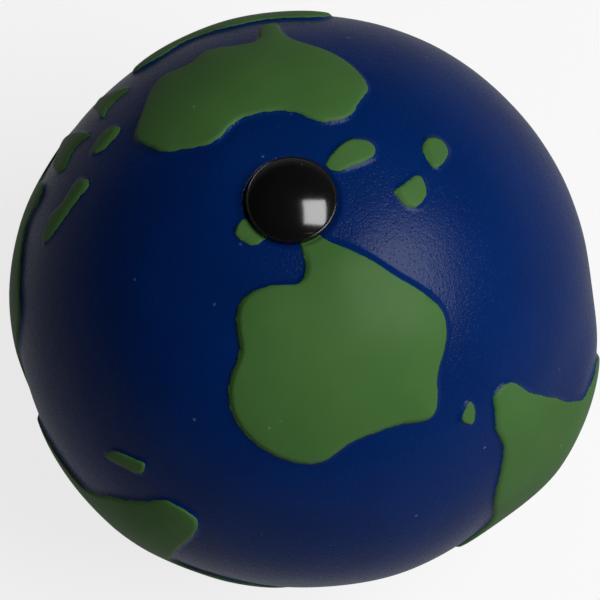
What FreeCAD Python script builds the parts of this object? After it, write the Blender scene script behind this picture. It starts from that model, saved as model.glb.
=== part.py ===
"""Globe stress ball: a foam ball with raised continents, squeezed along its stopper's axis.

The ball stands on the flat flange of its cord eyelet, so z = 0 is that flange's face, and +Z runs
up the cord channel to the domed stopper. Everything is in millimetres.
"""
import FreeCAD, Part
import Sketcher
import math
import os

SIZES = [
    ("ocean_radius", 34.0, "painted foam ball between the lands"),
    ("land_height", 1.0, "how far the continents stand above the ocean"),
    ("islet_height", 0.8, "how far the small islands stand above the ocean"),
    ("foot_drop", 0.8, "how far the eyelet's flange stands below the ball"),
    ("channel_radius", 1.9, "cord channel through the foam"),
    ("socket_radius", 3.5, "hole in the foam round the stopper's stem"),
    ("socket_depth", 22.0, "deep enough for the stem when the ball is squeezed flat"),
    ("seat_radius", 5.2, "flat that the stopper's rim rests on"),
    ("seat_depth", 1.0, "how far that flat lies below the ball's top"),
    ("seat_gap", 0.1, "air between the seat and the stopper"),
    ("cap_radius", 4.93, "rim of the domed cap"),
    ("cap_rim_height", 1.2, "straight rim under the dome"),
    ("cap_edge", 0.2, "bevel on the rim's outer edge"),
    ("dome_base_radius", 4.6, "foot of the dome, just inside the rim"),
    ("dome_height", 1.5, "rise of the dome above the rim"),
    ("cap_wall", 0.6, "moulded wall of the cap"),
    ("bead_radius", 3.55, "inner edge of the cap's snap bead"),
    ("bead_height", 0.35, "thickness of the snap bead"),
    ("flange_radius", 3.8, "stem flange that the cap snaps over"),
    ("flange_height", 0.9, "flange above the seat gap"),
    ("neck_radius", 3.47, "undercut below the flange, where the bead runs"),
    ("snap_gap", 0.08, "running gap between cap and flange"),
    ("stem_radius", 2.5, "stem that presses into the foam"),
    ("stem_length", 12.0, "stem below the seat"),
    ("barb_radius", 3.0, "ridges that grip the foam"),
    ("barb_pitch", 3.2, "ridge to ridge"),
    ("barb_slope", 1.6, "long side of a ridge"),
    ("knot_radius", 1.7, "pocket for the cord's knot"),
    ("knot_depth", 4.5, "depth of that pocket"),
    ("cord_radius", 1.3, "hole for the cord in the stem"),
    ("eyelet_flange_radius", 6.0, "flat foot of the ball"),
    ("eyelet_flange_height", 1.6, "thickness of the eyelet's flange"),
    ("eyelet_edge", 0.4, "bevel round the flange"),
    ("eyelet_length", 11.0, "barrel above the flange"),
    ("eyelet_bore_radius", 1.5, "hole that the cord runs through"),
    ("eyelet_mouth", 0.9, "flare at the ends of that hole"),
    ("fit_gap", 0.05, "air round a pressed-in barrel"),
]

BARBS = 3
SHORE_TOLERANCE = 1e-3

# The map is a simplified atlas. It is turned so that the south pole and one meridian come to
# these places on the ball, as longitude from +X towards +Y and latitude up to the stopper.
SOUTH_POLE_ON_BALL = (-82.2, 61.1)
MERIDIAN = 134.0
MERIDIAN_ON_BALL = (99.2, 60.9)

# Each shore is a closed curve through hand-placed (east, north) degrees.
CONTINENTS = {
    "land_antarctica": [[
        (138, -67), (133, -69), (131, -74), (124, -76), (114, -75), (103, -73), (88, -71), (72, -72),
        (58, -73), (45, -71), (26, -68), (4, -67), (-12, -67), (-27, -68), (-39, -71), (-55, -72),
        (-68, -71), (-77, -69), (-86, -66), (-94, -67), (-107, -69), (-124, -68), (-140, -68),
        (-160, -71), (178, -72), (159, -71), (146, -69)]],
    "land_australia": [[
        (106, -29), (105, -31), (106, -35), (108, -39), (111, -41), (115, -43), (121, -44),
        (127, -42), (133, -42), (140, -43), (147, -46), (152, -46), (155, -45), (158, -41),
        (160, -37), (157, -31), (149, -24), (145, -21), (143, -16), (142, -11), (140, -11),
        (138, -16), (137, -19), (134, -19), (126, -17), (123, -19), (118, -18), (111, -24)]],
    "land_new_guinea": [[
        (113, -5), (119, -6), (126, -4), (133, -6), (140, -6), (146, -7), (152, -6), (154, -2),
        (146, 3), (134, 5), (122, 3), (115, 0)]],
    "land_eurasia": [[
        (84, -9), (80, -9), (76, -7), (71, -9), (66, -11), (59, -13), (52, -7), (47, 1), (42, 5),
        (36, 8), (31, 13), (25, 22), (12, 26), (4, 29), (-8, 28), (-22, 28), (-24, 34), (-15, 37),
        (-8, 40), (-4, 46), (-6, 52), (-3, 58), (6, 63), (18, 60), (28, 63), (50, 66), (80, 70),
        (110, 68), (140, 66), (157, 62), (156, 57), (146, 53), (146, 45), (136, 50), (122, 44),
        (114, 36), (110, 28), (104, 31), (103, 22), (96, 12), (88, 8), (84, 1)]],
    "land_africa": [[
        (7, -44), (2, -43), (0, -37), (0, -29), (-1, -21), (-4, -12), (-12, -13), (-22, -10),
        (-31, -2), (-31, 7), (-25, 16), (-17, 21), (-4, 23), (6, 19), (17, 19), (22, 10), (29, 1),
        (36, 0), (31, -8), (22, -15), (19, -26), (15, -36)]],
    "land_south_america": [[
        (-104, -54), (-108, -51), (-106, -45), (-105, -37), (-104, -26), (-106, -18), (-111, -11),
        (-111, -2), (-106, 6), (-98, 9), (-88, 7), (-78, 2), (-66, -3), (-63, -9), (-68, -16),
        (-72, -21), (-76, -32), (-83, -40), (-90, -46), (-93, -50), (-99, -53)]],
    "land_north_america": [[
        (-108, 12), (-118, 15), (-128, 20), (-134, 27), (-143, 34), (-148, 42), (-150, 50),
        (-160, 56), (-174, 56), (-178, 63), (-168, 69), (-150, 70), (-125, 71), (-106, 70),
        (-98, 65), (-108, 59), (-104, 54), (-97, 58), (-88, 60), (-80, 54), (-84, 47), (-96, 42),
        (-104, 33), (-107, 28), (-113, 31), (-121, 27), (-119, 21), (-112, 18), (-106, 14)]],
    "land_greenland": [[
        (-20, 69), (-33, 75), (-52, 77), (-60, 81), (-35, 84), (-5, 82), (2, 77), (-9, 73)]],
}

ISLANDS = {
    "land_tasmania": [[
        (149, -54), (151, -52), (157, -49), (162, -49), (164, -50), (164, -52), (158, -55),
        (151, -56)]],
    "land_new_zealand": [
        [(176, -45), (177, -43), (180, -42), (-177, -43), (-176, -46), (-178, -49), (179, -48)],
        [(173, -57), (175, -55), (179, -52), (-177, -54), (-176, -56), (-178, -59), (176, -59)]],
    "land_south_sea_islets": [
        [(111, -61), (118, -61), (118, -66), (113, -66), (110, -64)],
        [(-93, -61), (-99, -60), (-96, -58), (-91, -57), (-90, -59)]],
    "land_indonesia": [
        [(102, -10), (103, -14), (105, -12), (110, -12), (107, -6), (104, -2), (102, -5)],
        [(96, -22), (98, -24), (104, -23), (103, -21), (99, -20)],
        [(88, -11), (90, -14), (94, -13), (98, -15), (97, -8), (93, 1), (90, -4)],
        [(75, -21), (79, -24), (85, -26), (91, -27), (91, -24), (84, -22), (79, -19)]],
    "land_madagascar": [[
        (29, -36), (29, -40), (26, -43), (23, -45), (21, -43), (25, -38)]],
    "land_japan": [[
        (118, 24), (124, 26), (130, 32), (132, 38), (127, 38), (123, 31), (117, 28)]],
    "land_british_isles": [
        [(-13, 43), (-17, 42), (-19, 46), (-18, 50), (-14, 48)],
        [(-22, 44), (-25, 45), (-25, 48), (-22, 48)]],
    "land_iceland": [[
        (-12, 61), (-17, 61), (-19, 63), (-14, 65), (-8, 63)]],
}

doc = FreeCAD.newDocument("StressBall")
sheet = doc.addObject("Spreadsheet::Sheet", "Sizes")
for row, (alias, value, note) in enumerate(SIZES, start=1):
    sheet.set(f"A{row}", alias)
    sheet.set(f"B{row}", str(value))
    sheet.set(f"C{row}", note)
    sheet.setAlias(f"B{row}", alias)
doc.recompute()

BALL_CENTRE = "(Sizes.ocean_radius + Sizes.foot_drop)"
SEAT = f"({BALL_CENTRE} + Sizes.ocean_radius - Sizes.seat_depth)"
STOPPER_BASE = f"({SEAT} + Sizes.seat_gap)"
EYELET_TOP = "(Sizes.eyelet_flange_height + Sizes.eyelet_length)"


def size(expression):
    """The present value of an expression on the sheet."""
    return float(sheet.evalExpression(expression))


def primitive(kind, name, base_z, **sizes):
    """A Part primitive about the Z axis, its sizes and its height bound to the sheet."""
    solid = doc.addObject(kind, name)
    for prop, expression in sizes.items():
        solid.setExpression(prop, expression)
    solid.setExpression("Placement.Base.z", base_z)
    return solid


def draw_outline(sketch, corners, arcs):
    """A closed outline in the XZ plane, its corners held at sheet expressions (radius, height).

    arcs maps the number of an arc's first corner to the height of its centre on the axis. The
    height of an arc's last corner follows from the arc.
    """
    points = [FreeCAD.Vector(size(radius), size(height), 0) for radius, height in corners]
    for index, start in enumerate(points):
        end = points[(index + 1) % len(points)]
        if index in arcs:
            centre = FreeCAD.Vector(0, size(arcs[index]), 0)
            circle = Part.Circle(centre, FreeCAD.Vector(0, 0, 1), (start - centre).Length)
            angles = [math.atan2(p.y - centre.y, p.x - centre.x) for p in (start, end)]
            sketch.addGeometry(Part.ArcOfCircle(circle, min(angles), max(angles)))
        else:
            sketch.addGeometry(Part.LineSegment(start, end))

    def end_of(index, first):
        """Sketcher's number for a piece's first or last corner, as arcs run anticlockwise."""
        if index not in arcs:
            return 1 if first else 2
        centre_y = size(arcs[index])
        start = points[index]
        end = points[(index + 1) % len(points)]
        climbs = math.atan2(start.y - centre_y, start.x) < math.atan2(end.y - centre_y, end.x)
        return 1 if first == climbs else 2

    def hold(kind, index, which, expression):
        """A dimension from the sketch's origin, bound to an expression."""
        number = sketch.addConstraint(
            Sketcher.Constraint(kind, -1, 1, index, which, size(expression)))
        sketch.setExpression(f"Constraints[{number}]", expression)

    for index, (radius, height) in enumerate(corners):
        before = (index - 1) % len(corners)
        sketch.addConstraint(Sketcher.Constraint(
            "Coincident", before, end_of(before, False), index, end_of(index, True)))
        hold("DistanceX", index, end_of(index, True), radius)
        if before not in arcs:
            hold("DistanceY", index, end_of(index, True), height)
        if index in arcs:
            sketch.addConstraint(Sketcher.Constraint("PointOnObject", index, 3, -2))
            hold("DistanceY", index, 3, arcs[index])


def turned_body(name, corners, arcs=None):
    """A body made by turning an outline round the Z axis."""
    body = doc.addObject("PartDesign::Body", name)
    front = next(f for f in body.Origin.OriginFeatures if f.Role == "XZ_Plane")
    sketch = body.newObject("Sketcher::SketchObject", f"{name}_outline")
    sketch.AttachmentSupport = [(front, "")]
    sketch.MapMode = "FlatFace"
    draw_outline(sketch, corners, arcs or {})
    turn = body.newObject("PartDesign::Revolution", f"{name}_turn")
    turn.Profile = sketch
    turn.ReferenceAxis = (sketch, ["V_Axis"])
    turn.Angle = 360.0
    sketch.Visibility = False
    body.Tip = turn
    return body


def barbs(root, first_z, direction):
    """The outline of the gripping ridges, from the first outwards along the axis."""
    corners = []
    for number in range(BARBS):
        ridge = f"({first_z} + {direction} * {number} * Sizes.barb_pitch)"
        tail = f"({ridge} + {direction} * Sizes.barb_slope)"
        corners += [(root, ridge), ("Sizes.barb_radius", ridge), (root, tail)]
    return corners


def foam_ball():
    """The foam, bored for the cord and recessed for the stopper and the eyelet."""
    ball = primitive("Part::Sphere", "foam", BALL_CENTRE, Radius="Sizes.ocean_radius")
    hollows = [
        primitive("Part::Cylinder", "cord_channel", "0",
                  Radius="Sizes.channel_radius", Height=SEAT),
        primitive("Part::Cylinder", "stem_socket", f"{SEAT} - Sizes.socket_depth",
                  Radius="Sizes.socket_radius", Height="Sizes.socket_depth + Sizes.seat_depth"),
        primitive("Part::Cylinder", "stopper_seat", SEAT,
                  Radius="Sizes.seat_radius", Height="2 * Sizes.seat_depth"),
        primitive("Part::Cylinder", "flange_recess", "0",
                  Radius="Sizes.eyelet_flange_radius + Sizes.fit_gap",
                  Height="Sizes.eyelet_flange_height"),
        primitive("Part::Cylinder", "barrel_hole", "0",
                  Radius="Sizes.barb_radius + Sizes.fit_gap", Height=f"{EYELET_TOP} + Sizes.fit_gap"),
    ]
    void = doc.addObject("Part::MultiFuse", "foam_hollows")
    void.Shapes = hollows
    cut = doc.addObject("Part::Cut", "foam_ball")
    cut.Base = ball
    cut.Tool = void
    return cut


def stopper_cap():
    """The domed cap: a rim with a snap bead inside, and an even wall under the dome."""
    rim_top = f"({STOPPER_BASE} + Sizes.cap_rim_height)"
    dome_centre = (f"({rim_top} - (Sizes.dome_base_radius^2 - Sizes.dome_height^2)"
                   " / (2 * Sizes.dome_height))")
    dome_top = f"({rim_top} + Sizes.dome_height)"
    bead_top = f"({STOPPER_BASE} + Sizes.bead_height)"
    groove = "(Sizes.flange_radius + Sizes.snap_gap)"
    shoulder = f"({STOPPER_BASE} + Sizes.flange_height + Sizes.snap_gap)"
    inner_radius = "(Sizes.dome_base_radius - 2 * Sizes.cap_wall)"
    dome_radius = ("((Sizes.dome_base_radius^2 + Sizes.dome_height^2)"
                   " / (2 * Sizes.dome_height))")
    inner_top = f"({dome_top} - Sizes.cap_wall)"
    inner_height = (f"({dome_centre} + sqrt(({dome_radius} - Sizes.cap_wall)^2"
                    f" - {inner_radius}^2))")
    corners = [
        ("Sizes.bead_radius", STOPPER_BASE),
        ("Sizes.cap_radius - Sizes.cap_edge", STOPPER_BASE),
        ("Sizes.cap_radius", f"{STOPPER_BASE} + Sizes.cap_edge"),
        ("Sizes.cap_radius", f"{rim_top} - Sizes.cap_edge"),
        ("Sizes.cap_radius - Sizes.cap_edge", rim_top),
        ("Sizes.dome_base_radius", rim_top),
        ("0", dome_top),
        ("0", inner_top),
        (inner_radius, inner_height),
        (inner_radius, shoulder),
        (groove, shoulder),
        (groove, bead_top),
        ("Sizes.bead_radius", bead_top),
    ]
    return turned_body("stopper_cap", corners, arcs={5: dome_centre, 7: dome_centre})


def stopper_stem():
    """The barbed stem with the flange that carries the cap and the pocket for the knot."""
    flange_top = f"({STOPPER_BASE} + Sizes.flange_height)"
    undercut = f"({STOPPER_BASE} + Sizes.bead_height + Sizes.snap_gap)"
    tip = f"({STOPPER_BASE} - Sizes.stem_length)"
    pocket_floor = f"({flange_top} - Sizes.knot_depth)"
    first_barb = f"({STOPPER_BASE} - Sizes.barb_slope)"
    corners = [
        ("Sizes.knot_radius", flange_top),
        ("Sizes.flange_radius", flange_top),
        ("Sizes.flange_radius", undercut),
        ("Sizes.neck_radius", undercut),
        ("Sizes.neck_radius", STOPPER_BASE),
        ("Sizes.stem_radius", STOPPER_BASE),
        *barbs("Sizes.stem_radius", first_barb, -1),
        ("Sizes.stem_radius", f"{tip} + Sizes.snap_gap"),
        ("Sizes.stem_radius - Sizes.snap_gap", tip),
        ("Sizes.cord_radius", tip),
        ("Sizes.cord_radius", f"{pocket_floor} - (Sizes.knot_radius - Sizes.cord_radius)"),
        ("Sizes.knot_radius", pocket_floor),
    ]
    return turned_body("stopper_stem", corners)


def cord_eyelet():
    """The barbed eyelet on the far side, whose flange is the ball's flat foot."""
    flange = "Sizes.eyelet_flange_radius"
    top = "Sizes.eyelet_flange_height"
    bore = "Sizes.eyelet_bore_radius"
    mouth = "Sizes.eyelet_mouth"
    corners = [
        (f"{bore} + {mouth}", "0"),
        (f"{flange} - Sizes.eyelet_edge", "0"),
        (flange, "Sizes.eyelet_edge"),
        (flange, top),
        ("Sizes.stem_radius", top),
        *barbs("Sizes.stem_radius", f"({top} + Sizes.barb_slope)", 1),
        ("Sizes.stem_radius", EYELET_TOP),
        (f"{bore} + {mouth} / 2", EYELET_TOP),
        (bore, f"{EYELET_TOP} - {mouth}"),
        (bore, mouth),
    ]
    return turned_body("cord_eyelet", corners)


def direction(longitude, latitude):
    """The unit vector at a longitude and latitude in degrees."""
    turn = math.radians(longitude)
    rise = math.radians(latitude)
    return FreeCAD.Vector(
        math.cos(rise) * math.cos(turn), math.cos(rise) * math.sin(turn), math.sin(rise))


def globe_turn():
    """The rotation from the atlas's axes to the ball's."""
    north = direction(*SOUTH_POLE_ON_BALL) * -1
    toward = direction(*MERIDIAN_ON_BALL)
    meridian = (toward - north * toward.dot(north)).normalize()
    upright = FreeCAD.Rotation(meridian, north.cross(meridian), north, "ZXY")
    return upright * FreeCAD.Rotation(FreeCAD.Vector(0, 0, 1), -MERIDIAN)


def land_solid(shore, height):
    """A pad of even height on the ocean, inside one smooth closed shore.

    The shore is drawn in the angles of a sphere turned so that the land lies far from its poles
    and its seam.
    """
    points = [GLOBE_TURN.multVec(direction(*place)) for place in shore]
    middle = FreeCAD.Vector()
    for point in points:
        middle += point
    turn = FreeCAD.Rotation(FreeCAD.Vector(-1, 0, 0), middle)
    local = [turn.inverted().multVec(point) for point in points]
    angles = [FreeCAD.Base.Vector2d(math.atan2(p.y, p.x) % (2 * math.pi), math.asin(p.z))
              for p in local]
    curve = Part.Geom2d.BSplineCurve2d()
    curve.interpolate(angles, PeriodicFlag=True, Tolerance=SHORE_TOLERANCE)
    edges = []
    faces = []
    for radius in (size("Sizes.ocean_radius"), size(f"Sizes.ocean_radius + {height}")):
        surface = Part.Sphere()
        surface.Radius = radius
        edges.append(curve.toShape(surface))
        faces.append(Part.Face(surface, Part.Wire([edges[-1]])))
        faces[-1].validate()
    faces += Part.makeRuledSurface(*edges).Faces
    shell = Part.makeShell(faces)
    shell.sewShape()
    solid = Part.makeSolid(shell)
    if solid.Volume < 0:
        solid.reverse()
    centre = FreeCAD.Vector(0, 0, size(BALL_CENTRE))
    return solid.transformed(FreeCAD.Placement(centre, turn).toMatrix())


def land(name, shores, height):
    """One land node: its pads, kept clear of the stopper's seat."""
    clearing = Part.makeCylinder(
        size("Sizes.seat_radius + Sizes.seat_gap"), size("2 * Sizes.ocean_radius"),
        FreeCAD.Vector(0, 0, size(BALL_CENTRE)))
    pads = []
    for shore in shores:
        pad = land_solid(shore, height)
        if pad.distToShape(clearing)[0] < SHORE_TOLERANCE:
            pad = pad.cut(clearing)
        pads += pad.Solids
    feature = doc.addObject("Part::Feature", name)
    feature.Shape = pads[0] if len(pads) == 1 else Part.makeCompound(pads)
    return feature


def checked(feature):
    """Stop on a feature that failed to build."""
    if "Invalid" in feature.State or "Error" in feature.State:
        raise RuntimeError(f"{feature.Name} did not build: {feature.State}")
    return feature


GLOBE_TURN = globe_turn()
subparts = [foam_ball(), stopper_cap(), stopper_stem(), cord_eyelet()]
subparts += [land(name, shores, "Sizes.land_height") for name, shores in CONTINENTS.items()]
subparts += [land(name, shores, "Sizes.islet_height") for name, shores in ISLANDS.items()]
doc.recompute()

for feature in doc.Objects:
    checked(feature)
os.makedirs("parts", exist_ok=True)
for part in subparts:
    shape = part.Shape
    if shape.isNull() or not shape.isValid():
        raise RuntimeError(f"{part.Label} has no valid shape")
    shape.exportStep(f"parts/{part.Label}.step")
    print(f"{part.Label}: {len(shape.Solids)} solid(s), {shape.Volume:.1f} mm3")
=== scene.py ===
"""Looks of the globe stress ball: painted foam with raised lands, and its black cord stopper.

The foam's skin is one closed mesh. Its relief is worked out from the shores of the CAD's land
nodes, and each land's green paint is a thin closed film on that skin. Lengths are in millimetres
until a mesh is made, and the relief is measured from the ball's centre.
"""
import math

import bpy
import numpy as np
from mathutils import Matrix, Quaternion, Vector, noise
from mathutils.geometry import delaunay_2d_cdt
from mathutils.kdtree import KDTree


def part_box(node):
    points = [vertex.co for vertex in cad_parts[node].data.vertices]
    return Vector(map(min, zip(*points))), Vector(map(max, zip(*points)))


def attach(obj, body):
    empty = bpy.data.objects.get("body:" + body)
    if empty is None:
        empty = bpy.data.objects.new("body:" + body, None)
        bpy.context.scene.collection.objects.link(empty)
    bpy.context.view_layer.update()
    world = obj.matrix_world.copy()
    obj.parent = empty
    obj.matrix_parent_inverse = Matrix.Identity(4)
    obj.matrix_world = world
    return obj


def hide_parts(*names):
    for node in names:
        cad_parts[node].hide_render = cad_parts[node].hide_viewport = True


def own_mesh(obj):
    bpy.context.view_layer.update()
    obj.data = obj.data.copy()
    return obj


MM = 0.001
RANDOM_SEED = 7

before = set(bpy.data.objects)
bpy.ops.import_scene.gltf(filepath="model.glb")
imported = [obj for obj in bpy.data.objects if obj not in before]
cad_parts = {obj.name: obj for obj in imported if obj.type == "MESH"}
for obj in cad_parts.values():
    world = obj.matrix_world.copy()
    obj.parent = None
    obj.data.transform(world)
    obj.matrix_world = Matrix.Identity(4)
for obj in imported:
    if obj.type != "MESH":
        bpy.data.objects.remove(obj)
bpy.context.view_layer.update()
random = np.random.default_rng(RANDOM_SEED)


# ---------------------------------------------------------------- the frame, measured

def node_points(name):
    """A CAD node's vertices in millimetres."""
    return np.array([v.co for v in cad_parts[name].data.vertices]) / MM


def sphere_through(points):
    """Centre and radius of the sphere that the points lie on, by least squares."""
    system = np.column_stack([2 * points, np.ones(len(points))])
    answer = np.linalg.lstsq(system, (points ** 2).sum(axis=1), rcond=None)[0]
    centre = answer[:3]
    return centre, math.sqrt(answer[3] + centre @ centre)


def box_mm(name):
    """A CAD node's lowest and highest corner in millimetres."""
    return [np.array(corner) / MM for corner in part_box(name)]


CLEAR_OF_BORES = 20.0     # farther from the axis, all the foam's points lie on the sea's sphere
foam_points = node_points("foam_ball")
off_axis = np.hypot(foam_points[:, 0], foam_points[:, 1])
CENTRE, OCEAN = sphere_through(foam_points[off_axis > CLEAR_OF_BORES])
CENTRE[:2] = 0            # the ball is centred on the axis

CAP_BASE = box_mm("stopper_cap")[0][2]
CAP_TOP = box_mm("stopper_cap")[1][2]
CAP_RADIUS = box_mm("stopper_cap")[1][0]
STEM_TIP = box_mm("stopper_stem")[0][2]
SEAT_GAP = 0.1            # under the cap
SEAT_SIDE_GAP = 0.17      # round the cap
SEAT = CAP_BASE - SEAT_GAP
SEAT_RADIUS = CAP_RADIUS + SEAT_SIDE_GAP
SOCKET_RADIUS = 3.5       # the hole in the foam for the stem
SOCKET_DEPTH = 22.0
SOCKET_FLOOR = SEAT - SOCKET_DEPTH
CHANNEL_RADIUS = 1.9      # the cord's way through the foam

EYELET_TOP = box_mm("cord_eyelet")[1][2]
FLANGE_RADIUS = box_mm("cord_eyelet")[1][0]
FLANGE_TOP = 1.6          # the eyelet's flange is this thick
BARREL_HOLE = 3.05        # the hole in the foam for the eyelet's barrel

LANDS = sorted(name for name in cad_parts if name.startswith("land_"))


# ---------------------------------------------------------------- shores

SHORE_STEP = 0.3          # spacing of the points along a shore
WALL_WIDTH = 0.85         # the slope from the sea up to a land
WALL_INSIDE = 0.10        # how far the middle of that slope lies inside the CAD shore
PAINT_INSIDE = 0.15       # how far the paint stops inside the CAD shore
CONTINENT_HEIGHT = 0.40
ISLAND_HEIGHT = 0.30
CONTINENT_PILLOW = 0.45   # how much a land swells towards its middle
ISLAND_PILLOW = 0.1
PILLOW_REACH = 4.0        # how far inside the shore most of the swell has risen
ISLAND_SIZE = 36.0        # shores shorter than this are islands
COVER_RADIUS = 3.6        # lands that run under the cap are carried on to here
SEAT_MARGIN = 0.3         # a shore this near to the seat was cut off by it
PAINT_WAVER = 0.07        # how far the paint's edge strays
WAVES = ((5.0, 0.5), (2.1, 0.35), (1.1, 0.3))    # length and share of each wave in that edge
FEWEST_WAVES = 2          # round even the smallest island
FEWEST_POINTS = 12
ROOF_DEPTH = 0.05         # a land's points this near its highest one lie on its raised face
WELD_DIGITS = 4           # points that agree to this many decimals are one point

# How far the paint and the moulded relief slipped from the CAD shore: (east, north) in millimetres.
PAINT_SLIP = {
    "land_new_zealand": (-0.05, 0.35),
    "land_tasmania": (0.0, 0.30),
    "land_indonesia": (0.0, 0.40),
    "land_south_sea_islets": (0.20, -0.10),
    "land_south_america": (-0.25, 0.50),
}
RELIEF_SLIP = {
    "land_antarctica": (0.35, 0.20),
    "land_new_zealand": (0.10, 0.0),
    "land_south_america": (-0.15, 0.40),
}


def unit(vectors):
    """The vectors at length one."""
    return vectors / np.linalg.norm(vectors, axis=-1, keepdims=True)


def raised_rings(name):
    """The closed edges of a land's raised faces, anticlockwise, measured from the ball's centre."""
    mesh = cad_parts[name].data
    points = node_points(name) - CENTRE
    top = np.linalg.norm(points, axis=1).max()
    welded = {}
    number = [welded.setdefault(tuple(np.round(p, WELD_DIGITS)), len(welded)) for p in points]
    places = np.array(list(welded))
    high = np.linalg.norm(places, axis=1) > top - ROOF_DEPTH
    mesh.calc_loop_triangles()
    edges = set()
    for triangle in mesh.loop_triangles:
        corners = [number[v] for v in triangle.vertices]
        if all(high[corners]):
            edges.update(zip(corners, corners[1:] + corners[:1]))
    following = {start: end for start, end in edges if (end, start) not in edges}
    rings = []
    while following:
        first = min(following)
        ring = [first]
        step = following.pop(first)
        while step != first:
            ring.append(step)
            step = following.pop(step)
        rings.append(places[ring])
    return rings


def resampled(ring, step):
    """A smooth closed curve through a ring, cut into even steps and laid on the sea's sphere."""
    gaps = np.linalg.norm(np.roll(ring, -1, axis=0) - ring, axis=1)
    before = np.roll(gaps, 1)
    after = np.roll(ring, -1, axis=0) - ring
    behind = ring - np.roll(ring, 1, axis=0)
    slope = after / gaps[:, None] * before[:, None] + behind / before[:, None] * gaps[:, None]
    slope /= (gaps + before)[:, None]
    along = np.concatenate([[0], np.cumsum(gaps)])
    count = max(FEWEST_POINTS, round(along[-1] / step))
    places = np.arange(count) * along[-1] / count
    piece = np.clip(np.searchsorted(along, places, side="right") - 1, 0, len(ring) - 1)
    t = ((places - along[piece]) / gaps[piece])[:, None]
    ahead = (piece + 1) % len(ring)
    width = gaps[piece][:, None]
    curve = ((2 * t ** 3 - 3 * t ** 2 + 1) * ring[piece]
             + (t ** 3 - 2 * t ** 2 + t) * width * slope[piece]
             + (3 * t ** 2 - 2 * t ** 3) * ring[ahead]
             + (t ** 3 - t ** 2) * width * slope[ahead])
    return unit(curve) * OCEAN


def outward(ring):
    """Unit vectors in the surface that point away from the land inside a ring."""
    forward = np.roll(ring, -1, axis=0) - np.roll(ring, 1, axis=0)
    return unit(np.cross(forward, ring))


def ragged(ring, amount):
    """A shore with the small waver of a paint mask's edge, the same all the way round."""
    length = len(ring) * SHORE_STEP
    place = np.arange(len(ring)) / len(ring) * 2 * math.pi
    waver = np.zeros(len(ring))
    for wavelength, share in WAVES:
        waves = max(FEWEST_WAVES, round(length / wavelength))
        for extra in (0, 1):
            phase = random.uniform(0, 2 * math.pi)
            waver += share * random.uniform(0.5, 1) * np.sin((waves + extra) * place + phase)
    return unit(ring + outward(ring) * (amount * waver)[:, None]) * OCEAN


def carried_under_cap(ring):
    """Points cut off at the stopper's seat move inwards, so that the land runs on under the cap."""
    radius = np.hypot(ring[:, 0], ring[:, 1])
    near = (radius < SEAT_RADIUS + SEAT_MARGIN) & (ring[:, 2] > 0)
    ring = ring.copy()
    ring[near, :2] *= (COVER_RADIUS / radius[near])[:, None]
    return ring


def moved(ring, spread, slip):
    """A shore spread outwards and slipped east and north, laid on the sea's sphere again."""
    up = unit(ring)
    east = unit(np.cross([0, 0, 1], up))
    north = np.cross(up, east)
    return unit(ring + outward(ring) * spread + slip[0] * east + slip[1] * north) * OCEAN


class Shore:
    """One land's painted edge, and the middle of the slope that rises to the land."""

    def __init__(self, name, ring):
        island = len(ring) * SHORE_STEP < ISLAND_SIZE
        self.name = name
        self.height = ISLAND_HEIGHT if island else CONTINENT_HEIGHT
        self.pillow = ISLAND_PILLOW if island else CONTINENT_PILLOW
        self.paint = ragged(moved(ring, -PAINT_INSIDE, PAINT_SLIP.get(name, (0, 0))), PAINT_WAVER)
        self.relief = moved(ring, -WALL_INSIDE, RELIEF_SLIP.get(name, (0, 0)))


def all_shores():
    """Every land's shores, in the order of the land's names."""
    shores = []
    for name in LANDS:
        for ring in raised_rings(name):
            shores.append(Shore(name, resampled(carried_under_cap(ring), SHORE_STEP)))
    return shores


SHORES = all_shores()


# ---------------------------------------------------------------- relief

class Nearest:
    """Signed distance to the slope's middle line, more than zero on the land's side."""

    def __init__(self, shores, step=0.08):
        self.points = []
        self.normals = []
        self.owner = []
        for number, shore in enumerate(shores):
            line = resampled(shore.relief, step)
            self.points.append(line)
            self.normals.append(outward(line))
            self.owner += [number] * len(line)
        self.points = np.concatenate(self.points)
        self.normals = np.concatenate(self.normals)
        self.tree = KDTree(len(self.points))
        for index, point in enumerate(self.points):
            self.tree.insert(point, index)
        self.tree.balance()

    def __call__(self, points):
        """Distances and the numbers of the nearest shores, for points on the sea's sphere."""
        found = [self.tree.find(point) for point in points]
        index = np.array([hit[1] for hit in found])
        gap = np.array([hit[2] for hit in found])
        side = ((points - self.points[index]) * self.normals[index]).sum(axis=1)
        return np.where(side > 0, -gap, gap), np.array(self.owner)[index]


def smooth(low, high, values):
    """Zero below low, one above high, with a soft S between."""
    t = np.clip((values - low) / (high - low), 0, 1)
    return t * t * (3 - 2 * t)


def soft_noise(directions, wavelength, seed):
    """Even noise on the sphere, between about -1 and 1."""
    offset = Vector(NOISE_SHIFT) * seed
    scale = OCEAN / wavelength
    return np.array([noise.noise(Vector(d) * scale + offset) for d in directions])


nearest = Nearest(SHORES)
HEIGHTS = np.array([shore.height for shore in SHORES])
PILLOWS = np.array([shore.pillow for shore in SHORES])
DIMPLE_DEPTH = 0.32       # the foam sinks a little round the stopper
DIMPLE_WIDTH = 3.2
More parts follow.
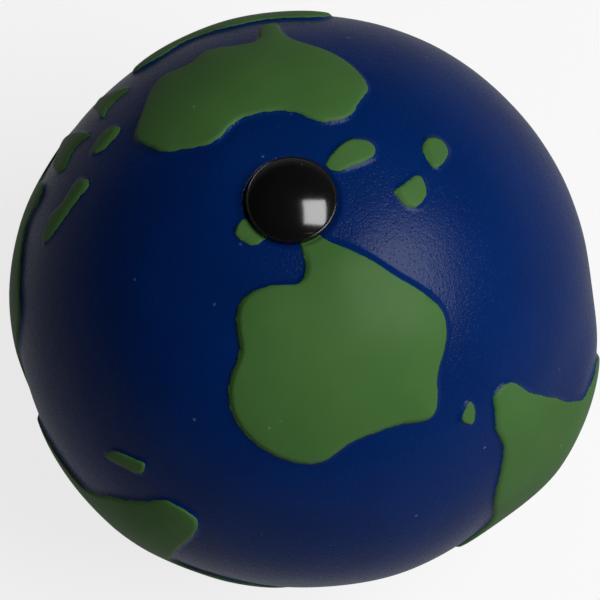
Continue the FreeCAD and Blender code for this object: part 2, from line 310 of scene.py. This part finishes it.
# Where hand-packed foam swells or lies flat: a direction, a height and how far it spreads.
SWELLS = (
    (unit(np.array([0.87, -0.46, -0.16])), 1.3, 0.066),
    (unit(np.array([-0.21, -0.92, -0.32])), -0.35, 0.066),
)
UNEVENNESS = ((0.07, 14, 1), (0.03, 5, 2))    # height, wavelength and seed of the skin's soft waves
NOISE_SHIFT = (17.3, 5.1, 9.7)    # how far each seed moves through the noise
SEAT_FADE = (-1.2, 3.5)   # from the seat's edge, where the relief is gone and where it is whole
SEAT_LIP = (-0.1, 0.5)    # from the seat's edge, where the flat seat ends and where the ball begins
RECESS_LIP = (0.05, 0.5)  # the same, from the flange's edge
LEAST_RISE = 0.1          # keeps the divisions by a direction's height away from zero


def skin_radius(directions):
    """How far the foam's skin lies from the ball's centre, in each direction."""
    places = directions * OCEAN
    inside, owner = nearest(places)
    lift = HEIGHTS[owner] * smooth(-WALL_WIDTH / 2, WALL_WIDTH / 2, inside)
    lift += PILLOWS[owner] * (1 - np.exp(-np.maximum(inside, 0) / PILLOW_REACH))
    from_axis = np.hypot(places[:, 0], places[:, 1])
    top = places[:, 2] > 0
    lift *= np.where(top, smooth(SEAT_RADIUS + SEAT_FADE[0], SEAT_RADIUS + SEAT_FADE[1], from_axis), 1)
    radius = OCEAN + lift
    radius += sum(height * soft_noise(directions, wavelength, seed)
                  for height, wavelength, seed in UNEVENNESS)
    for direction, height, spread in SWELLS:
        radius += height * np.exp(-((1 - directions @ direction) / spread) ** 2)
    dimple = np.exp(-(np.maximum(from_axis - SEAT_RADIUS, 0) / DIMPLE_WIDTH) ** 2)
    radius -= DIMPLE_DEPTH * dimple * top
    seat = (SEAT - CENTRE[2]) / np.maximum(directions[:, 2], LEAST_RISE)
    into_seat = (1 - smooth(SEAT_RADIUS + SEAT_LIP[0], SEAT_RADIUS + SEAT_LIP[1], from_axis)) * top
    radius += (seat - radius) * into_seat
    recess = (CENTRE[2] - FLANGE_TOP) / np.maximum(-directions[:, 2], LEAST_RISE)
    into_recess = 1 - smooth(FLANGE_RADIUS + RECESS_LIP[0], FLANGE_RADIUS + RECESS_LIP[1], from_axis)
    radius += (recess - radius) * into_recess * ~top
    return radius


# ---------------------------------------------------------------- skin mesh

TOP_HOLE = 4.3            # where the outer skin meets the bore, under the cap
BOTTOM_HOLE = 4.9         # the same, above the flange
HOLE_MARGIN = 0.15        # how far free points keep from those two edges
RING_POINTS = 96
# Lines of points follow each slope at these distances from its middle, above zero on the land's side.
FINE_LINES = (-1.9, -1.3, -0.9, -0.65, -0.45, -0.25, -0.05, 0.15, 0.35, 0.55, 0.9, 1.4, 2.1)
LINE_TOLERANCE = 0.08     # a line's point that is out by more lies nearer to another stretch of shore
# Rings of points lie at these distances outside the seat's edge and the flange's edge.
SEAT_RINGS = (-0.35, -0.1, 0.1, 0.25, 0.4, 0.6, 1.0)
FLANGE_RINGS = (-0.3, 0.05, 0.2, 0.35, 0.5, 0.9)
COARSE_STEP = 0.85        # spacing of the points scattered elsewhere
LINE_TO_PAINT = 0.14      # the least gap from one group's points to another's
SCATTER_TO_LINE = 0.45
RING_TO_PAINT = 0.1
SCATTER_TO_RING = 0.3
LINE_TO_RING = 0.12
SAME_POINT = 1e-7         # closer than this, the triangulation takes two points for one


def to_plane(directions):
    """Stereographic projection from the ball's lowest point, which keeps angles."""
    return directions[:, :2] / (1 + directions[:, 2:3])


def from_plane(points):
    """The directions that project to these points."""
    square = (points ** 2).sum(axis=1, keepdims=True)
    return np.hstack([2 * points, 1 - square]) / (1 + square)


def ring_directions(radius, top):
    """Evenly spaced directions to a circle round the axis."""
    turn = np.arange(RING_POINTS) * 2 * math.pi / RING_POINTS
    height = math.sqrt(OCEAN ** 2 - radius ** 2) * (1 if top else -1)
    return np.column_stack([radius * np.cos(turn), radius * np.sin(turn),
                            np.full(RING_POINTS, height)]) / OCEAN


def even_directions(step):
    """Directions spread evenly over the sphere, about one to each square step."""
    count = round(4 * math.pi * OCEAN ** 2 / step ** 2)
    index = np.arange(count) + 0.5
    height = 1 - 2 * index / count
    turn = math.pi * (1 + math.sqrt(5)) * index
    across = np.sqrt(1 - height ** 2)
    return np.column_stack([across * np.cos(turn), across * np.sin(turn), height])


def thinned(directions, gap, taken):
    """The directions that lie at least a gap in millimetres from those taken."""
    tree = KDTree(len(taken))
    for index, point in enumerate(taken):
        tree.insert(point * OCEAN, index)
    tree.balance()
    keep = [tree.find(point * OCEAN)[2] > gap for point in directions]
    return directions[keep]


def skin_points():
    """Free points of the skin: lines along each slope, rings at both ends, and an even scatter."""
    lines = []
    for shore in SHORES:
        away = outward(shore.relief)
        for distance in FINE_LINES:
            line = unit(shore.relief - away * distance)
            real = nearest(line * OCEAN)[0]
            lines.append(line[np.abs(real - distance) < LINE_TOLERANCE])
    lines = np.concatenate(lines)
    paint = np.concatenate([unit(shore.paint) for shore in SHORES])
    lines = thinned(lines, LINE_TO_PAINT, paint)
    scatter = even_directions(COARSE_STEP)
    scatter = thinned(scatter, SCATTER_TO_LINE, np.concatenate([lines, paint]))
    rings = [ring_directions(SEAT_RADIUS + extra, True) for extra in SEAT_RINGS]
    rings += [ring_directions(FLANGE_RADIUS + extra, False) for extra in FLANGE_RINGS]
    rings = thinned(np.concatenate(rings), RING_TO_PAINT, paint)
    scatter = thinned(scatter, SCATTER_TO_RING, rings)
    lines = thinned(lines, LINE_TO_RING, rings)
    return np.concatenate([rings, lines, scatter])


def triangulated():
    """The skin's directions, its triangles, and each triangle's shore number or -1."""
    top_ring = ring_directions(TOP_HOLE, True)
    bottom_ring = ring_directions(BOTTOM_HOLE, False)
    free = skin_points()
    from_axis = np.hypot(free[:, 0], free[:, 1]) * OCEAN
    limit = np.where(free[:, 2] > 0, TOP_HOLE, BOTTOM_HOLE) + HOLE_MARGIN
    free = free[from_axis > limit]
    groups = [top_ring] + [unit(shore.paint) for shore in SHORES]
    loops = []
    total = 0
    for group in groups:
        loops.append(list(range(total, total + len(group))))
        total += len(group)
    points = [Vector(p) for p in to_plane(np.concatenate(groups + [bottom_ring, free]))]
    plane, _, faces, _, _, origin = delaunay_2d_cdt(points, [], loops, 0, SAME_POINT, True)
    directions = from_plane(np.array([tuple(p) for p in plane], dtype=float))
    faces = np.array(faces)
    label = np.full(len(faces), -1)
    keep = np.ones(len(faces), bool)
    for index, inputs in enumerate(origin):
        if 0 in inputs:
            keep[index] = False
        elif inputs:
            label[index] = max(inputs) - 1
    return directions, faces[keep], label[keep]


def new_object(name, points, faces):
    """A smooth-shaded mesh object from points in millimetres in the frame."""
    mesh = bpy.data.meshes.new(name)
    mesh.from_pydata((np.asarray(points) * MM).tolist(), [], [tuple(map(int, f)) for f in faces])
    mesh.validate()
    mesh.shade_smooth()
    piece = bpy.data.objects.new(name, mesh)
    bpy.context.scene.collection.objects.link(piece)
    return piece


def open_edges(faces):
    """Directed edges that only one face has."""
    edges = set()
    for a, b, c in faces.tolist():
        edges.update(((a, b), (b, c), (c, a)))
    return [(a, b) for a, b in edges if (b, a) not in edges]


def by_turn(numbers, points):
    """Vertex numbers in order round the Z axis."""
    turn = np.arctan2(points[numbers, 1], points[numbers, 0])
    return [numbers[i] for i in np.argsort(turn)]


def stitched(upper, lower, points):
    """Triangles between two rings, facing away from the axis when upper lies above lower."""
    angle = np.arctan2(points[:, 1], points[:, 0])
    upper = by_turn(upper, points)
    lower = by_turn(lower, points)
    faces = []
    i = j = 0
    while i < len(upper) or j < len(lower):
        next_upper = angle[upper[i + 1]] if i + 1 < len(upper) else math.inf
        next_lower = angle[lower[j + 1]] if j + 1 < len(lower) else math.inf
        a = upper[i % len(upper)]
        b = lower[j % len(lower)]
        if j >= len(lower) or (i < len(upper) and next_upper <= next_lower):
            faces.append((a, b, upper[(i + 1) % len(upper)]))
            i += 1
        else:
            faces.append((a, b, lower[(j + 1) % len(lower)]))
            j += 1
    return faces


def foam_bore():
    """Radius and height down the inside of the foam, from the seat to the flange's recess."""
    mouth_bevel = 0.3
    floor_bevel = 0.6
    channel_bevel = 0.2
    foot_bevel = 0.1
    barrel_end = EYELET_TOP + 0.05
    return [
        (SOCKET_RADIUS + mouth_bevel, SEAT), (SOCKET_RADIUS, SEAT - mouth_bevel),
        (SOCKET_RADIUS, SOCKET_FLOOR + floor_bevel), (SOCKET_RADIUS - floor_bevel, SOCKET_FLOOR),
        (CHANNEL_RADIUS + channel_bevel, SOCKET_FLOOR), (CHANNEL_RADIUS, SOCKET_FLOOR - channel_bevel),
        (CHANNEL_RADIUS, barrel_end), (BARREL_HOLE, barrel_end),
        (BARREL_HOLE, FLANGE_TOP + foot_bevel), (BARREL_HOLE + foot_bevel, FLANGE_TOP),
    ]


def make_skin():
    """The whole foam ball as one closed mesh, and what the paint films need of it."""
    directions, faces, label = triangulated()
    points = directions * skin_radius(directions)[:, None] + CENTRE
    rim = {a for edge in open_edges(faces) for a in edge}
    top = [v for v in rim if directions[v, 2] > 0]
    bottom = [v for v in rim if directions[v, 2] < 0]
    turn = np.arange(RING_POINTS) * 2 * math.pi / RING_POINTS
    circle = np.column_stack([np.cos(turn), np.sin(turn)])
    rings = []
    stacked = [points]
    total = len(points)
    for radius, height in foam_bore():
        stacked.append(np.column_stack([circle * radius, np.full(RING_POINTS, height)]))
        rings.append(list(range(total, total + RING_POINTS)))
        total += RING_POINTS
    everything = np.concatenate(stacked)
    inner = []
    chain = [top] + rings + [bottom]
    for upper, lower in zip(chain, chain[1:]):
        inner += [(a, c, b) for a, b, c in stitched(upper, lower, everything)]
    skin = new_object("foam_skin", everything, faces.tolist() + inner)
    return skin, directions, points, faces, label


PAINT = 0.035             # how far the green film stands above the skin
PAINT_ROOT = 0.2          # how deep its underside lies in the foam


def make_land(name, directions, points, faces, label):
    """One land's green paint: a thin closed film that follows the skin."""
    numbers = [i for i, shore in enumerate(SHORES) if shore.name == name]
    own = faces[np.isin(label, numbers)]
    used = np.unique(own)
    local = np.zeros(len(points), int)
    local[used] = np.arange(len(used))
    own = local[own]
    top = points[used] + directions[used] * PAINT
    root = points[used] - directions[used] * PAINT_ROOT
    count = len(used)
    shell = own.tolist() + (own[:, ::-1] + count).tolist()
    for a, b in open_edges(own):
        shell += [(b, a, a + count), (b, a + count, b + count)]
    return new_object(name.replace("land_", "paint_"), np.concatenate([top, root]), shell)


# ---------------------------------------------------------------- the stopper and the eyelet

LATHE_POINTS = 160
ON_AXIS = 1e-6            # an outline's point with less radius than this is on the axis


def rounded(corners, steps=5):
    """An outline with its corners rounded: each corner is (radius, height, rounding)."""
    outline = []
    count = len(corners)
    for index, (x, z, rounding) in enumerate(corners):
        here = np.array([x, z])
        if rounding == 0:
            outline.append(here)
            continue
        before = np.array(corners[index - 1][:2]) - here
        after = np.array(corners[(index + 1) % count][:2]) - here
        start = here + before / np.linalg.norm(before) * rounding
        end = here + after / np.linalg.norm(after) * rounding
        for t in np.linspace(0, 1, steps + 1):
            outline.append((1 - t) ** 2 * start + 2 * t * (1 - t) * here + t ** 2 * end)
    return outline


def lathe(name, outline):
    """A closed solid from an outline of (radius, height), turned about the ball's axis.

    The outline runs anticlockwise round the section, with radius to the right and height upwards.
    """
    turn = np.arange(LATHE_POINTS) * 2 * math.pi / LATHE_POINTS
    circle = np.column_stack([np.cos(turn), np.sin(turn)])
    points = []
    rings = []
    for radius, height in outline:
        if radius < ON_AXIS:
            rings.append([len(points)])
            points.append((0, 0, height))
        else:
            rings.append(list(range(len(points), len(points) + LATHE_POINTS)))
            points += [(x * radius, y * radius, height) for x, y in circle]
    faces = []
    for lower, upper in zip(rings, rings[1:] + rings[:1]):
        if len(lower) == 1 and len(upper) == 1:
            continue
        for i in range(LATHE_POINTS):
            j = (i + 1) % LATHE_POINTS
            if len(upper) == 1:
                faces.append((lower[i], lower[j], upper[0]))
            elif len(lower) == 1:
                faces.append((lower[0], upper[j], upper[i]))
            else:
                faces.append((lower[i], lower[j], upper[j], upper[i]))
    return new_object(name, points, faces)


def arc_on_axis(radius, low, rise, steps):
    """Points of an arc centred on the axis, from its foot at this radius up to the axis."""
    curve = (radius ** 2 + rise ** 2) / (2 * rise)
    centre = low + rise - curve
    foot = math.asin(radius / curve)
    return [(curve * math.sin(a), centre + curve * math.cos(a)) for a in np.linspace(foot, 0, steps)]


def make_cap():
    """The glossy dome: a rounded rim, a fine crease, and the low dome that rises from it."""
    base = CAP_BASE
    rim_top = base + 1.0
    rise = CAP_TOP - rim_top
    dome_radius = 4.78
    crease = 0.04
    wall = 0.6
    mouth_radius = 3.55
    inner_radius = 3.4
    groove_radius = 3.88
    groove_floor = base + 0.35
    groove_roof = base + 0.98
    outside = rounded([
        (mouth_radius, base, 0.08), (CAP_RADIUS, base, 0.14), (CAP_RADIUS, rim_top - crease, 0.10),
        (dome_radius + crease, rim_top - crease / 2, 0.03)])
    dome = arc_on_axis(dome_radius, rim_top, rise, 28)
    dome[-1] = (0, dome[-1][1])
    curve = (dome_radius ** 2 + rise ** 2) / (2 * rise)
    inner_curve = curve - wall
    centre = rim_top + rise - curve
    reach = math.asin(inner_radius / inner_curve)
    inner_dome = [(inner_curve * math.sin(a), centre + inner_curve * math.cos(a))
                  for a in np.linspace(0, reach, 14)]
    inside = rounded([
        (inner_radius, groove_roof, 0), (groove_radius, groove_roof, 0.05),
        (groove_radius, groove_floor, 0.05), (mouth_radius, groove_floor, 0.06)], 3)
    return lathe("cap", outside + dome + inner_dome + inside)


def barbs(root, first, direction, count=3, pitch=3.2, slope=1.6, reach=3.0):
    """Corners of the gripping ridges along a stem."""
    corners = []
    for number in range(count):
        ridge = first + direction * number * pitch
        corners += [(root, ridge, 0.03), (reach, ridge, 0.06), (root, ridge + direction * slope, 0.1)]
    return corners


def make_stem():
    """The barbed stem under the cap, with the pocket for the cord's knot."""
    base = CAP_BASE
    top = base + 0.9
    pocket_radius = 1.7
    pocket_floor = top - 4.5
    hole_radius = 1.3
    hole_top = top - 4.9
    shank_radius = 2.5
    first_barb = base - 1.6
    neck_radius = 3.47
    disc_radius = 3.8
    disc_base = base + 0.43
    corners = [
        (pocket_radius, top, 0.08), (pocket_radius, pocket_floor, 0.1),
        (hole_radius, hole_top, 0.1), (hole_radius, STEM_TIP, 0.15), (shank_radius, STEM_TIP, 0.3),
        *reversed(barbs(shank_radius, first_barb, -1)), (shank_radius, base, 0.1),
        (neck_radius, base, 0.08), (neck_radius, disc_base, 0.05),
        (disc_radius, disc_base, 0.08), (disc_radius, top, 0.2)]
    return lathe("stem", rounded(corners, 4))


def make_eyelet():
    """The flanged eyelet that the ball stands on, with its flared mouth for the cord."""
    hole_radius = 1.5
    barrel_radius = 2.5
    first_barb = FLANGE_TOP + 1.6
    corners = [
        (hole_radius, EYELET_TOP, 0.3), (hole_radius, 0, 0.85), (FLANGE_RADIUS, 0, 0.45),
        (FLANGE_RADIUS, FLANGE_TOP, 0.35), (barrel_radius, FLANGE_TOP, 0.12),
        *barbs(barrel_radius, first_barb, 1), (barrel_radius, EYELET_TOP, 0.25)]
    return lathe("eyelet", rounded(corners, 6))


# ---------------------------------------------------------------- materials

def material(name):
    """A node material, its tree's maker of nodes, its shader and the object's own coordinates."""
    result = bpy.data.materials.new(name)
    result.use_nodes = True
    tree = result.node_tree
    shader = tree.nodes["Principled BSDF"]

    def node(kind, inputs=None, **settings):
        made = tree.nodes.new(kind)
        for key, value in settings.items():
            setattr(made, key, value)
        for key, value in (inputs or {}).items():
            if isinstance(value, bpy.types.NodeSocket):
                tree.links.new(value, made.inputs[key])
            else:
                made.inputs[key].default_value = value
        return made

    place = node("ShaderNodeTexCoord").outputs["Object"]
    return result, tree, node, shader, place


def stepped(node, value, low, high):
    """A value stretched so that low becomes 0 and high becomes 1, with soft ends."""
    made = node("ShaderNodeMapRange", {"Value": value, "From Min": low, "From Max": high},
                interpolation_type="SMOOTHSTEP")
    return made.outputs["Result"]


def blended(node, factor, first, second):
    """A mix of two colours, either of which may be a socket."""
    made = node("ShaderNodeMix", {"Factor": factor}, data_type="RGBA")
    for socket, value in ((made.inputs[6], first), (made.inputs[7], second)):
        if isinstance(value, bpy.types.NodeSocket):
            made.id_data.links.new(value, socket)
        else:
            socket.default_value = value
    return made.outputs[2]


def summed(node, first, second, share):
    """first plus a share of second."""
    made = node("ShaderNodeMath", {0: second, 1: share, 2: first}, operation="MULTIPLY_ADD")
    return made.outputs[0]


def noise_texture(node, place, scale, detail, roughness=0.5, distortion=0.0):
    """Soft noise, mostly near one half."""
    inputs = {"Vector": place, "Scale": scale, "Detail": detail, "Roughness": roughness,
              "Distortion": distortion}
    return node("ShaderNodeTexNoise", inputs).outputs["Fac"]


def cell_distance(node, place, scale):
    """The distance to the nearest of many scattered points."""
    inputs = {"Vector": place, "Scale": scale, "Randomness": 1}
    return node("ShaderNodeTexVoronoi", inputs).outputs["Distance"]


def scattered_specks(node, place, scale, edge, thinning_scale, thinning):
    """Small round specks, left out wherever a slower noise is low."""
    specks = stepped(node, cell_distance(node, place, scale), *edge)
    present = stepped(node, noise_texture(node, place, thinning_scale, detail=0), *thinning)
    return node("ShaderNodeMath", {0: specks, 1: present}, operation="MULTIPLY").outputs[0]


def give_surface(tree, node, shader, colour, height, grain):
    """Give a shader its colour, and a bump of so many metres from a height."""
    tree.links.new(colour, shader.inputs["Base Color"])
    bump = node("ShaderNodeBump", {"Height": height, "Strength": 1.0, "Distance": grain})
    tree.links.new(bump.outputs["Normal"], shader.inputs["Normal"])


def give_roughness(tree, node, shader, wear, low, high):
    """Give a shader a roughness that varies with the wear."""
    rough = node("ShaderNodeMapRange", {"Value": wear, "To Min": low, "To Max": high})
    tree.links.new(rough.outputs["Result"], shader.inputs["Roughness"])


ROUGHNESS_SPREAD = 0.06


def foam_paint(name, colour, deep, worn, roughness, specular, grain):
    """Sprayed paint on moulded foam: leathery grain, pinholes, soft orange peel and dust specks."""
    made, tree, node, shader, place = material(name)
    cloud = noise_texture(node, place, scale=70, detail=3)
    base = blended(node, stepped(node, cloud, low=0.35, high=0.68), colour, deep)
    fine = noise_texture(node, place, scale=3100, detail=2)
    specks = scattered_specks(node, place, scale=330, edge=(0.075, 0.045),
                              thinning_scale=260, thinning=(0.56, 0.66))
    base = blended(node, specks, base, worn)

    leather = noise_texture(node, place, scale=2900, detail=2, roughness=0.6, distortion=0.6)
    pits = stepped(node, cell_distance(node, place, scale=2500), low=0.08, high=0.38)
    peel = noise_texture(node, place, scale=620, detail=2)
    height = summed(node, leather, pits, share=0.5)
    height = summed(node, height, peel, share=0.7)
    give_surface(tree, node, shader, base, height, grain)
    give_roughness(tree, node, shader, fine, roughness - ROUGHNESS_SPREAD, roughness + ROUGHNESS_SPREAD)
    shader.inputs["Specular IOR Level"].default_value = specular
    return made


def gloss_plastic(name, colour, faded, dusty, grain):
    """Glossy moulded plastic with dust, faint scuffs and hairline scratches."""
    made, tree, node, shader, place = material(name)
    cloud = noise_texture(node, place, scale=450, detail=4)
    base = blended(node, cloud, colour, faded)
    dust = scattered_specks(node, place, scale=900, edge=(0.085, 0.05),
                            thinning_scale=700, thinning=(0.58, 0.66))
    base = blended(node, dust, base, dusty)

    stretch = node("ShaderNodeMapping", {"Vector": place, "Rotation": (0.2, 0.3, 0.9),
                                         "Scale": (400, 9000, 2500)}).outputs[0]
    scratch = stepped(node, noise_texture(node, stretch, scale=1, detail=1), low=0.70, high=0.78)
    ripple = noise_texture(node, place, scale=380, detail=1)
    height = summed(node, ripple, scratch, share=-0.12)
    height = summed(node, height, dust, share=0.35)
    give_surface(tree, node, shader, base, height, grain)
    give_roughness(tree, node, shader, cloud, low=0.10, high=0.19)
    return made


OCEAN_PAINT = foam_paint(
    "ocean_paint", colour=(0.0003, 0.0110, 0.071, 1), deep=(0.0002, 0.0092, 0.061, 1),
    worn=(0.03, 0.06, 0.16, 1), roughness=0.265, specular=0.081, grain=0.000036)
LAND_PAINT = foam_paint(
    "land_paint", colour=(0.038, 0.097, 0.025, 1), deep=(0.033, 0.086, 0.021, 1),
    worn=(0.09, 0.17, 0.06, 1), roughness=0.42, specular=0.045, grain=0.000007)
BLACK_PLASTIC = gloss_plastic(
    "black_plastic", colour=(0.0022, 0.0021, 0.0022, 1), faded=(0.0042, 0.0038, 0.0036, 1),
    dusty=(0.055, 0.052, 0.05, 1), grain=0.000018)


# ---------------------------------------------------------------- pieces

def dressed(piece, finish, body, slot, *replaced):
    """Give a piece its material and its body, and hide the CAD nodes that it stands for. The slot is
    not used.
    """
    piece.data.materials.append(finish)
    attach(piece, body)
    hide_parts(*replaced)
    return piece


def flattened(piece):
    """Give the piece a mesh of its own."""
    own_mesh(piece)


skin, skin_directions, skin_places, skin_faces, skin_labels = make_skin()
flattened(dressed(skin, OCEAN_PAINT, "ball", "ocean_blue", "foam_ball"))
for land_name in LANDS:
    film = make_land(land_name, skin_directions, skin_places, skin_faces, skin_labels)
    flattened(dressed(film, LAND_PAINT, "ball", "land_green", land_name))
dressed(make_eyelet(), BLACK_PLASTIC, "ball", "stopper_black", "cord_eyelet")
dressed(make_stem(), BLACK_PLASTIC, "stopper", "stopper_black", "stopper_stem")
dressed(make_cap(), BLACK_PLASTIC, "cap", "stopper_black", "stopper_cap")


# ---------------------------------------------------------------- camera, floor and light

CAMERA_DISTANCE = 340.0
CAMERA_ELEVATION = 70.7
CAMERA_ROLL = 7.0
CAMERA_LENS = 171.8
AIM_OFFSET = (-0.44, 0.30)     # the ball sits this far right of and below the picture's middle


def camera_turn():
    """The camera's rotation: it looks steeply down, towards +Y, and leans to one side."""
    tilt = Matrix.Rotation(math.radians(90 - CAMERA_ELEVATION), 3, "X")
    return tilt @ Matrix.Rotation(math.radians(-CAMERA_ROLL), 3, "Z")


def add_camera():
    """The camera at the picture's viewing angle."""
    turn = camera_turn()
    data = bpy.data.cameras.new("camera")
    data.lens = CAMERA_LENS
    data.clip_start = 0.01
    camera = bpy.data.objects.new("camera", data)
    bpy.context.scene.collection.objects.link(camera)
    place = Vector(CENTRE) + turn @ Vector((*AIM_OFFSET, CAMERA_DISTANCE))
    camera.matrix_world = Matrix.Translation(place * MM) @ turn.to_4x4()
    bpy.context.scene.camera = camera


def add_softbox(name, direction, distance, size, radiance, lean):
    """A square area light in a direction given by the camera's right, up and back axes.

    It leans by so many degrees about the line to the ball.
    """
    data = bpy.data.lights.new(name, "AREA")
    data.shape = "SQUARE"
    data.size = size * MM
    data.energy = radiance * math.pi * (size * MM) ** 2
    lamp = bpy.data.objects.new(name, data)
    bpy.context.scene.collection.objects.link(lamp)
    away = (camera_turn() @ Vector(direction)).normalized()
    lamp.location = (Vector(CENTRE) + away * distance) * MM
    lamp.rotation_mode = "QUATERNION"
    lamp.rotation_quaternion = away.to_track_quat("Z", "Y") @ Quaternion((0, 0, 1), math.radians(lean))


FLOOR_HALF = 2500.0
FLOOR_GLOW = 0.8               # what keeps the floor evenly pale
FOOT_GLOW = 0.1                # painted shadow: the floor glows only this much under the ball, where little light reaches
FOOT_SHADE = (8.0, 24.0)       # the shade is full inside the first radius and gone by the second
MIRRORED_GLOW = 0.25           # the share of the glow that glossy surfaces reflect
FLOOR_GREY = (0.12, 0.12, 0.12, 1)
HORIZON_GLOW = 0.12
OVERHEAD_GLOW = 0.01
GLOW_HEIGHT = 0.25             # how far up the sky the glow fades, where 1 is straight overhead


def add_floor():
    """A wide, evenly pale floor, with a soft shadow painted into its glow under the ball."""
    half = FLOOR_HALF * MM
    corners = [(-half, -half, 0), (half, -half, 0), (half, half, 0), (-half, half, 0)]
    mesh = bpy.data.meshes.new("floor")
    mesh.from_pydata(corners, [], [(0, 1, 2, 3)])
    floor = bpy.data.objects.new("floor", mesh)
    bpy.context.scene.collection.objects.link(floor)
    finish, tree, node, shader, place = material("floor")
    shader.inputs["Base Color"].default_value = FLOOR_GREY
    shader.inputs["Roughness"].default_value = 1.0
    shader.inputs["Specular IOR Level"].default_value = 0.0
    shader.inputs["Emission Color"].default_value = (1, 1, 1, 1)
    reach = node("ShaderNodeVectorMath", {0: place}, operation="LENGTH").outputs["Value"]
    # Painted shadow: the floor's glow drops towards FOOT_GLOW near the ball's foot.
    shade = stepped(node, reach, FOOT_SHADE[0] * MM, FOOT_SHADE[1] * MM)
    glow = node("ShaderNodeMapRange", {"Value": shade, "To Min": FOOT_GLOW, "To Max": FLOOR_GLOW})
    glossy = node("ShaderNodeLightPath").outputs["Is Glossy Ray"]
    share = node("ShaderNodeMapRange", {"Value": glossy, "To Min": 1.0, "To Max": MIRRORED_GLOW})
    strength = node("ShaderNodeMath", {0: glow.outputs["Result"], 1: share.outputs["Result"]},
                    operation="MULTIPLY")
    tree.links.new(strength.outputs[0], shader.inputs["Emission Strength"])
    mesh.materials.append(finish)


def add_sky():
    """Studio walls: dim at the horizon and below it, nearly black overhead."""
    world = bpy.data.worlds.new("studio")
    world.use_nodes = True
    tree = world.node_tree
    background = tree.nodes["Background"]
    place = tree.nodes.new("ShaderNodeTexCoord")
    split = tree.nodes.new("ShaderNodeSeparateXYZ")
    ramp = tree.nodes.new("ShaderNodeMapRange")
    ramp.interpolation_type = "SMOOTHSTEP"
    ramp.inputs["From Min"].default_value = 0.0
    ramp.inputs["From Max"].default_value = GLOW_HEIGHT
    ramp.inputs["To Min"].default_value = HORIZON_GLOW
    ramp.inputs["To Max"].default_value = OVERHEAD_GLOW
    tree.links.new(place.outputs["Generated"], split.inputs[0])
    tree.links.new(split.outputs["Z"], ramp.inputs["Value"])
    tree.links.new(ramp.outputs["Result"], background.inputs["Color"])
    bpy.context.scene.world = world


add_camera()
add_floor()
add_sky()
add_softbox("key", direction=(0.557, 0.145, 0.815), distance=450, size=300, radiance=11.5, lean=20)
bpy.context.scene.view_settings.view_transform = "Standard"
